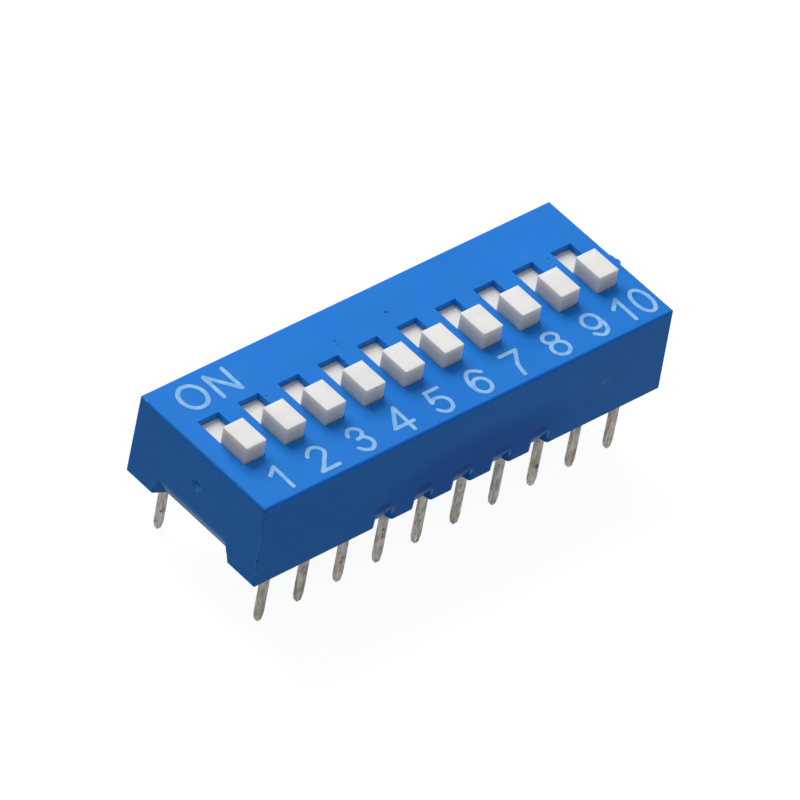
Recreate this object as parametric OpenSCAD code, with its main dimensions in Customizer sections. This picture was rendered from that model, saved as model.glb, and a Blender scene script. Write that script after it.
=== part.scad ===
// Ten-position slide DIP switch, raised sliders, for a board.
// The origin is on the board's surface at the centre of the pin grid. X runs along the switch from
// position 1 to the last one, Y points to the ON side, Z points up, and the pins reach below Z = 0.
// Sizes are in millimetres. Every slider stands at OFF.

/* [Layout] */
// Number of switches side by side
positions = 10; // [7:1:12]
// Distance between neighbouring switches, and between neighbouring pins of a row
pitch = 2.54; // [2.5:0.01:2.7]

/* [Housing] */
// Width of the top face, front to back
body_w = 9.41; // [9.35:0.01:10]
// Height of the top face above the board
body_h = 5.11; // [4.95:0.01:5.6]
// From the centre of the last switch to the end face
end_margin = 1.84; // [1.8:0.01:2.2]
// From the long edge of the top face to the middle of a row of pins, which are 7.62 apart
row_inset = 0.895; // [0.8:0.005:1]
// Draft of the long walls, in degrees
side_draft = 1.4; // [0.2:0.1:3]
// Thickness of the top over the sliders
top_wall = 0.38; // [0.35:0.01:0.6]
// Thickness of the long walls at the board
skirt_wall = 0.45; // [0.42:0.01:0.58]
// Thickness of the end walls
end_wall = 0.7; // [0.6:0.01:0.75]
// Radius along the long edges of the top
long_edge_r = 0.13; // [0.05:0.01:0.25]
// Radius along the short edges of the top
end_edge_r = 0.1; // [0.05:0.01:0.25]
// Radius of the four upright corners
corner_r = 0.12; // [0.05:0.01:0.25]
// Radius along the feet of the long walls
long_foot_r = 0.04; // [0.03:0.01:0.12]
// Radius along the feet of the end walls
end_foot_r = 0.18; // [0.03:0.01:0.25]
// Radius round the top of each slot
slot_rim_r = 0.02; // [0.02:0.01:0.1]

/* [Housing cut-outs] */
// Length of the relief in each end wall, at the board
relief_l = 5.8; // [3:0.02:6.2]
// Height of the relief on the outer face
relief_h = 1.2; // [0.5:0.05:1.3]
// Height of the relief where its slope ends inside
relief_toe_z = 0.12; // [0.05:0.01:0.3]
// Lean of the relief's sides over its height, in degrees
relief_lean = 16; // [0:1:25]
// Turn of the relief's sides over its depth, in degrees
relief_turn = 29; // [0:1:35]
// Radius of the relief's corners at the board
relief_r = 0.2; // [0.05:0.01:0.3]
// Radius of the relief's upright edges
relief_edge_r = 0.08; // [0.02:0.01:0.2]
// Radius that rolls the end wall into the relief
relief_roll_r = 0.9; // [0.1:0.05:1]
// Pins at each end of a row with no notch after them
plain_pins = 3; // [2:1:3]
// Width of a notch in the long walls
notch_w = 0.94; // [0.7:0.02:1.2]
// How far the notches sit to the right of the middle between two pins
notch_shift = 0.13; // [-0.2:0.01:0.2]
// Height of a notch on the outer face
notch_h = 0.8; // [0.4:0.02:1]
// Height of a notch where its slope ends inside
notch_toe_z = 0.03; // [0.02:0.01:0.3]
// Lean of a notch's sides over its height, in degrees
notch_lean = 4; // [0:1:10]
// Turn of a notch's sides over its depth, in degrees
notch_turn = 14; // [0:1:20]
// Radius of a notch's corners at the board
notch_r = 0.18; // [0.05:0.01:0.3]
// Radius of a notch's upright edges, where its sides meet the outer face
notch_edge_r = 0.4; // [0.02:0.01:0.45]
// Radius that rolls the long wall into a notch
notch_roll_r = 0.9; // [0.2:0.05:1.6]
// Thickness left inside, where a slope ends
toe_t = 0.04; // [0.02:0.01:0.1]
// Radius of the gate dimple on the left end
dimple_r = 0.34; // [0.1:0.02:0.5]
// Depth of the gate dimple
dimple_d = 0.12; // [0.02:0.01:0.2]
// Height of the gate dimple above the board
dimple_z = 2.95; // [2:0.05:3.5]
// Radius of the two flat vent nubs on the right end's top edge
nub_r = 0.3; // [0.2:0.01:0.5]
// Thickness of the vent nubs
nub_t = 0.25; // [0.1:0.01:0.4]
// Place of the larger nub along Y
nub_y = -0.45; // [-2:0.01:2]
// How far the larger nub stands out
nub_out = 0.14; // [0.05:0.01:0.18]
// From the larger nub to the smaller one behind it
nub_step = 0.34; // [0.2:0.01:1]
// How far the smaller nub stands out
small_nub_out = 0.06; // [0.03:0.01:0.18]
// How far the nubs lie below the top face
nub_drop = 0.03; // [0.01:0.01:0.1]

/* [Slider] */
// Width of the knob
knob_w = 1.26; // [1:0.01:1.5]
// Length of the knob along its travel
knob_l = 1.84; // [1.5:0.01:2]
// Height of the knob above the top face
knob_h = 0.99; // [0.3:0.01:1.5]
// Radius of the knob's upright edges
knob_r = 0.08; // [0.02:0.01:0.2]
// Radius of the knob's top edges
knob_top_r = 0.04; // [0.02:0.01:0.15]
// Travel from OFF to ON
travel = 1.6; // [1.2:0.01:1.64]
// Width of the plate that closes the slot from below
plate_w = 1.95; // [1.8:0.01:2]
// Thickness of the plate
plate_t = 1; // [0.8:0.01:1.1]
// How far the plate laps past the slot's end when the knob is at the other end
plate_lap = 0.3; // [0.1:0.01:0.4]
// Depth of the boss that carries the contact clip
boss_h = 0.55; // [0.4:0.01:0.6]
// Radius of the peg that holds the contact clip
peg_r = 0.2; // [0.12:0.01:0.26]
// Length of the peg below the contact clip
peg_h = 0.14; // [0.05:0.01:0.2]

/* [Contact clip] */
// Width of the clip
clip_w = 1.1; // [0.8:0.02:1.3]
// Thickness of its spring strip
strip_t = 0.12; // [0.08:0.01:0.16]
// Length of the flat under the boss
clip_flat_l = 1.05; // [0.8:0.01:1.2]
// Distance between the two feet
foot_spacing = 2.6; // [2.5:0.02:2.7]
// Radius of a foot, outside
foot_bend_r = 0.22; // [0.18:0.01:0.26]
// Length of the turned-up end after a foot
lip_l = 0.14; // [0.05:0.01:0.2]
// Where a foot turns up into its end, in degrees round the foot
lip_a = 330; // [300:1:345]
// Width of the slit that parts each arm into two fingers
slit_w = 0.16; // [0.08:0.01:0.3]
// How far the clip sits in front of the knob's centre
clip_offset = 0.29; // [0.25:0.01:0.33]

/* [Terminals] */
// Width of a pin
pin_w = 0.5; // [0.4:0.01:0.6]
// Thickness of the terminal strip
pin_t = 0.22; // [0.16:0.01:0.25]
// Length of a pin below the board's surface
pin_l = 3.9; // [2.5:0.05:4.5]
// Width of the pin's tip
tip_w = 0.28; // [0.15:0.01:0.38]
// Length of the taper at the tip
tip_l = 0.45; // [0.2:0.01:0.8]
// Radius of the tip's corners
tip_r = 0.07; // [0.02:0.01:0.07]
// Width of the contact pad and shoulder
pad_w = 1.2; // [0.9:0.02:1.3]
// Distance between the front and back pads
pad_space = 1; // [0.9:0.02:1.1]
// Inside radius of the bend
bend_r = 0.15; // [0.1:0.01:0.2]
// Depth of the shoulder below the pad's top
shoulder_d = 0.75; // [0.5:0.01:0.9]

/* [Base] */
// Height of the base's underside above the board
base_recess = 0.8; // [0.7:0.01:0.9]
// Thickness of the base's floor
base_t = 1.25; // [1.2:0.01:1.35]
// Depth of the seats that the pads lie in
pad_sink = 0.1; // [0.05:0.01:0.15]
// Width of a contact chamber between the ribs
chamber_w = 1.7; // [1.5:0.01:1.75]
// Radius of the snap beads on the long sides
bead_r = 0.14; // [0.1:0.01:0.2]
// How far the beads stand out
bead_out = 0.09; // [0.05:0.01:0.12]
// Length of a snap bead
bead_l = 1.8; // [1:0.1:2.2]

/* [Fits] */
// Between the knob and the sides of its slot
knob_gap = 0.035; // [0.03:0.005:0.08]
// Between the knob and the slot's end at each limit
end_gap = 0.05; // [0.03:0.01:0.12]
// Between the plate and the top wall above it
slide_gap = 0.03; // [0.02:0.005:0.06]
// Between the plate and the ribs beside it
track_gap = 0.045; // [0.03:0.005:0.06]
// Between the plate and the base's ribs below it
rail_gap = 0.05; // [0.03:0.005:0.08]
// Between the plate's end and the housing at each limit
plate_end_gap = 0.325; // [0.1:0.005:0.4]
// Between a clip's feet and the pads
wipe_gap = 0.03; // [0.02:0.005:0.05]
// Between the base and the housing's walls
base_gap = 0.03; // [0.02:0.005:0.05]
// Between a terminal and its slot in the base
terminal_gap = 0.02; // [0.01:0.005:0.03]
// Between the peg and its hole in the clip
peg_gap = 0.02; // [0.01:0.005:0.04]

/* [Hidden] */
$fn = 64;
// Overshoot of a cut past the face that it opens
over = 0.5;
// Small overshoot of a rounding cut, or of a shape that is joined to the one beside it
clear = 0.02;

body_l = (positions - 1) * pitch + 2 * end_margin;
top_half_w = body_w / 2;
foot_half_w = top_half_w + body_h * tan(side_draft);
body_half_l = body_l / 2;

slot_w = knob_w + 2 * knob_gap;
slot_l = knob_l + travel + 2 * end_gap;
knob_off_y = end_gap + (knob_l - slot_l) / 2;
plate_l = knob_l + 2 * (travel + end_gap + plate_lap);
track_w = plate_w + 2 * track_gap;
chamber_half_l = (plate_l + travel) / 2 + plate_end_gap;

floor_z = base_recess + base_t;
pad_z = floor_z - pad_sink + pin_t;
ceiling_z = body_h - top_wall;
plate_top_z = ceiling_z - slide_gap;
plate_z = plate_top_z - plate_t;
rail_z = plate_z - rail_gap;
boss_z = plate_z - boss_h;
shoulder_z = pad_z - shoulder_d;
strip_mid_z = boss_z - strip_t / 2;
foot_mid_z = pad_z + wipe_gap + foot_bend_r;

pocket_half_w = foot_half_w - skirt_wall;
pocket_half_l = body_half_l - end_wall;
row_y = top_half_w - row_inset;
pad_nose_y = pad_space / 2;
base_half_w = pocket_half_w - base_gap;
base_half_l = pocket_half_l - base_gap;
bead_z = (base_recess + floor_z) / 2;
clip_y = knob_off_y - clip_offset;

// X of switch k, counted from 1 at the left
function switch_x(k) = (k - (positions + 1) / 2) * pitch;

// Unit vector at an angle in degrees
function ray(a) = [cos(a), sin(a)];

// What a 2D corner at p loses when it is rounded to radius r, between edges that leave p along the
// unit vectors a and b
module corner_cut(p, a, b, r) {
    half_angle = acos(a * b) / 2;
    reach = r / tan(half_angle);
    middle = (a + b) / norm(a + b);
    centre = p + middle * r / sin(half_angle);
    start = p + a * reach;
    end = p + b * reach;
    difference() {
        polygon([
            p - middle * clear / sin(half_angle),
            start + (start - centre) / r * clear,
            centre,
            end + (end - centre) / r * clear
        ]);
        translate(centre) circle(r);
    }
}

// A strip drawn along X, width wide and t thick, from the middle line of its side view, bent to inside
// radius r at each inner point of that line
module bent_strip(points, width, t, r) {
    last = len(points) - 1;
    run = [for (i = [0:last - 1]) (points[i + 1] - points[i]) / norm(points[i + 1] - points[i])];
    normals = [for (d = run) [-d.y, d.x]];
    offsets = [
        for (i = [0:last])
            i == 0 ? normals[0] * t / 2
            : i == last ? normals[last - 1] * t / 2
            : (normals[i - 1] + normals[i]) / (1 + normals[i - 1] * normals[i]) * t / 2
    ];
    inward = [for (i = [1:last - 1]) offsets[i] * sign(cross(run[i - 1], run[i]))];
    along_x(width)
        difference() {
            polygon(concat(
                [for (i = [0:last]) points[i] + offsets[i]],
                [for (i = [last:-1:0]) points[i] - offsets[i]]
            ));
            for (i = [1:last - 1])
                corner_cut(points[i] - inward[i - 1], -run[i - 1], run[i], r + t);
        }
    for (i = [1:last - 1])
        along_x(width) corner_cut(points[i] + inward[i - 1], -run[i - 1], run[i], r);
}

// Stands a 2D outline of (Y, Z) up and draws it along X, centred
module along_x(length) {
    translate([-length / 2, 0, 0]) rotate([90, 0, 90]) linear_extrude(length) children();
}

// Stands a 2D outline of (X, Z) up and draws it along Y, centred
module along_y(length) {
    translate([0, length / 2, 0]) rotate([90, 0, 0]) linear_extrude(length) children();
}

// A block centred in X and Y on its bottom face
module block(size) {
    translate([-size.x / 2, -size.y / 2, 0]) cube(size);
}

// Repeats a left or front feature on the other side too
module both_x() {
    children();
    mirror([1, 0, 0]) children();
}

module both_y() {
    children();
    mirror([0, 1, 0]) children();
}

// ---- Housing ----

// Cross-section of the outside: drafted long walls, rounded at the top and at the board
module outside_section() {
    up = ray(90 - side_draft);
    front_up = [up.x, up.y];
    front_foot = [-foot_half_w, 0];
    front_top = [-top_half_w, body_h];
    difference() {
        polygon([
            front_foot,
            [foot_half_w, 0],
            [top_half_w, body_h],
            front_top
        ]);
        both_x() {
            corner_cut(front_top, [1, 0], -front_up, long_edge_r);
            corner_cut(front_foot, [1, 0], front_up, long_foot_r);
        }
    }
}

// Outside block with every edge rounded; the upright corners lean with the long walls
module outside_block() {
    difference() {
        along_x(body_l) outside_section();
        both_x() {
            along_y(2 * foot_half_w + over) {
                corner_cut([-body_half_l, body_h], [1, 0], [0, -1], end_edge_r);
                corner_cut([-body_half_l, 0], [1, 0], [0, 1], end_foot_r);
            }
            both_y()
                translate([-body_half_l, -foot_half_w, 0])
                    rotate([-side_draft, 0, 0])
                        translate([0, 0, -over])
                            linear_extrude(body_h + 2 * over)
                                corner_cut([0, 0], [1, 0], [0, 1], corner_r);
        }
    }
}

// Side view of a slope cut into the foot of a wall whose outer face leans in from X = 0; the slope
// starts at height crest_z, rolled over by roll_r, and ends inside at the point toe
module slope_view(lean, crest_z, toe, roll_r) {
    crest = [crest_z * tan(lean), crest_z];
    slope = (toe - crest) / norm(toe - crest);
    polygon([
        crest,
        toe,
        [toe.x + over, toe.y],
        [toe.x + over, -over],
        [-over, -over],
        [-over, crest_z]
    ]);
    corner_cut(crest, ray(90 - lean), slope, roll_r);
}

// Everything to the right of an opening's left side, which leans in from [0, 0] as it rises
module side_view(length, height, lean, r) {
    polygon([
        [0, -over],
        [length, -over],
        [length, height],
        [height * tan(lean), height],
        [0, 0]
    ]);
    corner_cut([0, 0], [-1, 0], ray(90 - lean), r);
}

// Opening in the foot of a wall whose outer face passes through the X axis: length wide at the board,
// with sides that lean in by side_lean as they rise, and turn in by side_turn as they go deeper; they are
// rounded to corner_r at the board and to edge_r where they meet the outer face
module foot_opening(length, side_lean, side_turn, corner_r, edge_r, wall_lean, crest_z, toe, roll_r) {
    intersection() {
        rotate([0, 0, 90])
            along_y(length + 2 * edge_r + over) slope_view(wall_lean, crest_z, toe, roll_r);
        union() {
            shared_by_both_sides()
                translate([-length / 2, 0, 0])
                    rotate([0, 0, -side_turn])
                        along_y(4 * length)
                            side_view(2 * length, crest_z + roll_r, side_lean, corner_r);
            both_x()
                translate([-length / 2, 0, 0])
                    rotate([0, side_lean, 0])
                        translate([0, 0, -over])
                            linear_extrude(crest_z + roll_r + over)
                                corner_cut([0, 0], [-1, 0], ray(90 - side_turn), edge_r);
        }
    }
}

// What a left feature and its mirror image on the right have in common
module shared_by_both_sides() {
    intersection() {
        children();
        mirror([1, 0, 0]) children();
    }
}

// Relief in the left end wall
module end_relief() {
    toe = [end_wall - toe_t, relief_toe_z];
    translate([-body_half_l, 0, 0])
        rotate([0, 0, -90])
            foot_opening(
                relief_l, relief_lean, relief_turn, relief_r, relief_edge_r, 0, relief_h, toe, relief_roll_r
            );
}

// Notch in the front wall, between two pins
module wall_notch() {
    toe = [skirt_wall - toe_t, notch_toe_z];
    translate([notch_shift, -foot_half_w, 0])
        foot_opening(
            notch_w, notch_lean, notch_turn, notch_r, notch_edge_r, side_draft, notch_h, toe, notch_roll_r
        );
}

// Room inside: the base's pocket, the chambers above it, and one track for each slider
module inside_room() {
    translate([0, 0, -over]) block([2 * pocket_half_l, 2 * pocket_half_w, floor_z + over]);
    translate([0, 0, floor_z - over])
        block([2 * pocket_half_l, 2 * chamber_half_l, plate_z - floor_z + over]);
    for (k = [1:positions])
        translate([switch_x(k), 0, 0]) {
            translate([0, 0, plate_z - over])
                block([track_w, 2 * chamber_half_l, ceiling_z - plate_z + over]);
            knob_slot();
        }
}

// View along a slot's wall: straight through the top, and rolled open at the top face
module slot_view(width) {
    translate([-width / 2, plate_z]) square([width, body_h - plate_z + over]);
    both_x() corner_cut([-width / 2, body_h], [-1, 0], [0, -1], slot_rim_r);
}

module knob_slot() {
    intersection() {
        along_y(slot_l + 4 * slot_rim_r) slot_view(slot_w);
        along_x(slot_w + 4 * slot_rim_r) slot_view(slot_l);
    }
}

// Beads along one long side, one between each pair of pins but the outer ones; grown by gap for grooves
module snap_beads(gap) {
    for (k = [2:2:positions - 2])
        translate([switch_x(k) + pitch / 2, bead_r - bead_out - base_half_w, bead_z])
            rotate([0, 90, 0])
                cylinder(r = bead_r + gap, h = bead_l + 2 * gap, center = true);
}

// Shallow round dimple that the moulding gate leaves on the left end
module gate_dimple() {
    ball_r = (dimple_r ^ 2 + dimple_d ^ 2) / (2 * dimple_d);
    translate([dimple_d - ball_r - body_half_l, 0, dimple_z]) sphere(ball_r);
}

// Flat nub that the mould's vent leaves on the right end, just under the top face
module vent_nub(y, out) {
    translate([body_half_l + out - nub_r, y, body_h - nub_drop - nub_t]) cylinder(r = nub_r, h = nub_t);
}

module housing() {
    color("dodgerblue") {
        difference() {
            union() {
                outside_block();
                vent_nub(nub_y, nub_out);
                vent_nub(nub_y + nub_step, small_nub_out);
            }
            inside_room();
            both_x() end_relief();
            both_y() {
                for (k = [plain_pins:positions - plain_pins])
                    translate([switch_x(k) + pitch / 2, 0, 0]) wall_notch();
                snap_beads(base_gap);
            }
            gate_dimple();
        }
    }
}

// ---- Base ----

// Seat of the front terminal of one switch: the pad's bed, the shoulder's step and the pin's slot
module terminal_seat() {
    wide = pad_w + 2 * terminal_gap;
    outer_y = -row_y - pin_t / 2 - terminal_gap;
    slot_t = pin_t + 2 * terminal_gap;
    translate([-wide / 2, outer_y, floor_z - pad_sink])
        cube([wide, -pad_nose_y + terminal_gap - outer_y, pin_t + over]);
    translate([-wide / 2, outer_y, shoulder_z])
        cube([wide, slot_t + bend_r, pad_z - shoulder_z]);
    translate([-pin_w / 2 - terminal_gap, outer_y, base_recess - over])
        cube([pin_w + 2 * terminal_gap, slot_t, shoulder_z - base_recess + 2 * over]);
}

// Rib beside a chamber, from x0 to x1, that also carries the edge of the slider's plate
module chamber_rib(x0, x1) {
    length = 2 * (chamber_half_l - base_gap);
    translate([x0, -length / 2, floor_z - clear]) cube([x1 - x0, length, rail_z - floor_z + clear]);
}

module base() {
    first_wall = switch_x(1) - chamber_w / 2;
    bar_w = pad_space - 2 * terminal_gap;
    color("royalblue") {
        difference() {
            union() {
                translate([0, 0, base_recess]) block([2 * base_half_l, 2 * base_half_w, base_t]);
                translate([0, 0, floor_z - clear])
                    block([2 * base_half_l - end_wall, bar_w, pad_z - floor_z + clear]);
            }
            for (k = [1:positions]) translate([switch_x(k), 0, 0]) both_y() terminal_seat();
        }
        for (k = [1:positions - 1])
            chamber_rib(switch_x(k) + chamber_w / 2, switch_x(k + 1) - chamber_w / 2);
        both_x() chamber_rib(-base_half_l, first_wall);
        both_y() snap_beads(0);
    }
}

// ---- Slider ----

// Rounded block from its plan and its two side views, standing on z = 0
module rounded_block(size, upright_r, top_r) {
    half = [size.x / 2, size.y / 2];
    difference() {
        block(size);
        for (sx = [-1, 1], sy = [-1, 1])
            translate([0, 0, -clear])
                linear_extrude(size.z + 2 * clear)
                    corner_cut([sx * half.x, sy * half.y], [-sx, 0], [0, -sy], upright_r);
        for (s = [-1, 1]) {
            along_x(size.x + over) corner_cut([s * half.y, size.z], [-s, 0], [0, -1], top_r);
            along_y(size.y + over) corner_cut([s * half.x, size.z], [-s, 0], [0, -1], top_r);
        }
    }
}

module slider(k) {
    color("whitesmoke")
        translate([switch_x(k), knob_off_y, 0]) {
            translate([0, 0, plate_z]) block([plate_w, plate_l, plate_t]);
            translate([0, 0, plate_z])
                rounded_block([knob_w, knob_l, body_h + knob_h - plate_z], knob_r, knob_top_r);
            translate([0, -clip_offset, boss_z]) block([clip_w, clip_flat_l, boss_h + clear]);
            translate([0, -clip_offset, boss_z - strip_t - peg_h])
                cylinder(r = peg_r, h = strip_t + peg_h + clear);
        }
}

// ---- Contact clip ----

// The whole strip of a clip: lip, foot and arm, the flat, then arm, foot and lip again
module clip_strip() {
    middle_r = foot_bend_r - strip_t / 2;
    bend = [clip_flat_l / 2, strip_mid_z];
    foot = [foot_spacing / 2, foot_mid_z];
    back = bend - foot;
    arm_a = atan2(back.y, back.x) + acos(middle_r / norm(back));
    corner = foot + ray((arm_a + lip_a) / 2) * middle_r / cos((lip_a - arm_a) / 2);
    lip = foot + middle_r * ray(lip_a) + lip_l * ray(lip_a + 90);
    right = [bend, corner, lip];
    left = [for (p = [lip, corner, bend]) [-p.x, p.y]];
    difference() {
        bent_strip(concat(left, right), clip_w, strip_t, foot_bend_r - strip_t);
        both_y()
            for (s = [-1, 1])
                along_x(clip_w + over)
                    corner_cut(
                        lip + s * ray(lip_a) * strip_t / 2, ray(lip_a - 90), -s * ray(lip_a), strip_t / 3
                    );
    }
}

module contact_clip(k) {
    slit_y = clip_flat_l / 2 + strip_t;
    slit_l = foot_spacing / 2 + foot_bend_r + lip_l - slit_y + over;
    color("goldenrod")
        translate([switch_x(k), clip_y, 0])
            difference() {
                clip_strip();
                translate([0, 0, strip_mid_z])
                    cylinder(r = peg_r + peg_gap, h = 2 * strip_t, center = true);
                both_y()
                    translate([-slit_w / 2, slit_y, pad_z])
                        cube([slit_w, slit_l, strip_mid_z - pad_z + strip_t]);
            }
}

// ---- Terminals ----

// Pad of a front terminal with a rounded nose, its bend, and the shoulder
module terminal_pad() {
    middle_z = pad_z - pin_t / 2;
    middle_line = [[-row_y, shoulder_z], [-row_y, middle_z], [-pad_nose_y, middle_z]];
    difference() {
        bent_strip(middle_line, pad_w, pin_t, bend_r);
        along_x(pad_w + over) corner_cut([-pad_nose_y, pad_z], [-1, 0], [0, -1], pin_t / 2);
    }
}

// Front view of the pin, from inside the shoulder to its tapered tip
module pin_front_view() {
    tip = [tip_w / 2, -pin_l];
    knee = [pin_w / 2, tip_l - pin_l];
    side = (knee - tip) / norm(knee - tip);
    difference() {
        polygon([
            [-pin_w / 2, shoulder_z + clear],
            [-knee.x, knee.y],
            [-tip.x, tip.y],
            tip,
            knee,
            [pin_w / 2, shoulder_z + clear]
        ]);
        both_x() corner_cut(tip, [-1, 0], side, tip_r);
    }
}

// Terminal number k; the front row runs 1 to the last switch, and the back row returns
module terminal(k) {
    front = k <= positions;
    switch = front ? k : 2 * positions + 1 - k;
    color("silver")
        translate([switch_x(switch), 0, 0])
            mirror([0, front ? 0 : 1, 0]) {
                terminal_pad();
                translate([0, -row_y, 0]) along_y(pin_t) pin_front_view();
            }
}

housing();
base();
for (k = [1:positions]) slider(k);
for (k = [1:positions]) contact_clip(k);
for (k = [1:2 * positions]) terminal(k);
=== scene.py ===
"""Looks of a ten-position slide DIP switch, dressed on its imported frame.

The frame is the part's own: X runs from position 1 to position 10, Y points to the ON side and Z points up
from the board's surface. Lengths are millimetres unless a name says otherwise, and meshes are in metres.
"""

from __future__ import annotations

import logging
import math
from collections.abc import Iterable, Mapping, Sequence
from dataclasses import dataclass
from enum import Enum
from functools import cached_property
from typing import Any

import bmesh
import bpy
import numpy as np
from mathutils import Matrix, Vector


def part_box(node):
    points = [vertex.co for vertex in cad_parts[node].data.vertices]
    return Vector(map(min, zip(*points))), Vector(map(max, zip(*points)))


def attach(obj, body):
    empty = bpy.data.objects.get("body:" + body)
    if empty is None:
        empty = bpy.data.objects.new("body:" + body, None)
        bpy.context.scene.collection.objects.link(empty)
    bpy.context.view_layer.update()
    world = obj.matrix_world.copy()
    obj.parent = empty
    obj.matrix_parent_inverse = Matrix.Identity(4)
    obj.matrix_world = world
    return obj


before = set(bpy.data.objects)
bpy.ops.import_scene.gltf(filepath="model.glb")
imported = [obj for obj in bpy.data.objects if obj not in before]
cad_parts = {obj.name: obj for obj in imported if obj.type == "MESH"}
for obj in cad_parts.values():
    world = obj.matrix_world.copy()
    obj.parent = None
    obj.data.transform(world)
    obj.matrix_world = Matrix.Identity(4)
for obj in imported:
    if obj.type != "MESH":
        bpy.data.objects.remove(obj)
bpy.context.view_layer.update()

logging.basicConfig(level=logging.INFO, format="%(name)s: %(message)s")
log = logging.getLogger("dip_switch")

MM = 0.001
PER_MM = 1000.0
FIXED_BODY = "switch_body"
# Metres between two points that are one.
MERGE = 1e-8

Colour = tuple[float, float, float]
Point = tuple[float, float, float]
Pair = tuple[float, float]


# ---- Layout ----


@dataclass(frozen=True)
class Row:
    """Places along X at one pitch, with the middle of the row at 0.

    Attributes:
        count: How many places there are.
        pitch: Distance between neighbours.
    """

    count: int
    pitch: float

    def x(self, number: int) -> float:
        """X of a place, where the first is number 1."""
        return (number - (self.count + 1) / 2) * self.pitch


ALONE = Row(1, 1.0)


# ---- Shader expressions ----


class Value:
    """An output socket that takes part in Python arithmetic.

    Numbers go through Math nodes and vectors through Vector Math nodes, so `1 - mask` and
    `(place - centre) / reach` both work. A socket comes first in a product or a quotient.
    """

    def __init__(self, paint: Paint, socket: bpy.types.NodeSocket) -> None:
        """Wraps a socket.

        Args:
            paint: The material that the socket's node belongs to.
            socket: The output socket.
        """
        self.paint = paint
        self.socket = socket

    @property
    def is_vector(self) -> bool:
        """Whether the socket carries a vector."""
        return self.socket.type == "VECTOR"

    def _apply(self, operation: str, first: Operand, second: Operand) -> Value:
        """Adds the node of one operation.

        Args:
            operation: The node's operation, which has the same name for numbers and vectors.
            first: The left operand.
            second: The right operand.

        Returns:
            The node's result.
        """
        pair = (first, second)
        if not any(x.is_vector if isinstance(x, Value) else isinstance(x, tuple) for x in pair):
            return self.paint.node("ShaderNodeMath", {"operation": operation}, {0: first, 1: second})
        wide = [(x, x, x) if isinstance(x, (int, float)) else x for x in pair]
        return self.paint.node("ShaderNodeVectorMath", {"operation": operation}, dict(enumerate(wide)))

    def __add__(self, other: Operand) -> Value:
        """Sum."""
        return self._apply("ADD", self, other)

    def __radd__(self, other: Operand) -> Value:
        """Reflected sum."""
        return self._apply("ADD", other, self)

    def __sub__(self, other: Operand) -> Value:
        """Difference."""
        return self._apply("SUBTRACT", self, other)

    def __rsub__(self, other: Operand) -> Value:
        """Reflected difference."""
        return self._apply("SUBTRACT", other, self)

    def __mul__(self, other: Operand) -> Value:
        """Product."""
        return self._apply("MULTIPLY", self, other)

    def __truediv__(self, other: Operand) -> Value:
        """Quotient."""
        return self._apply("DIVIDE", self, other)

    def either(self, other: Operand) -> Value:
        """The larger of two values, which joins two masks."""
        return self._apply("MAXIMUM", self, other)

    def at_most(self, other: Operand) -> Value:
        """The smaller of two values."""
        return self._apply("MINIMUM", self, other)

    def whole(self) -> Value:
        """The nearest whole number."""
        return self.paint.node("ShaderNodeMath", {"operation": "ROUND"}, {0: self})

    def length(self) -> Value:
        """Length of a vector."""
        return self.paint.node("ShaderNodeVectorMath", {"operation": "LENGTH"}, {0: self}, output=1)

    def axis(self, index: int) -> Value:
        """One component of a vector, where index 0 is X."""
        return self.paint.node("ShaderNodeSeparateXYZ", {}, {0: self}, output=index)

    def ramp(self, start: float, end: float) -> Value:
        """Smooth step from 0 at start to 1 at end; start may be the larger one."""
        sockets = {"Value": self, "From Min": start, "From Max": end}
        return self.paint.node("ShaderNodeMapRange", {"interpolation_type": "SMOOTHSTEP"}, sockets)


Operand = Value | float | tuple


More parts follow.
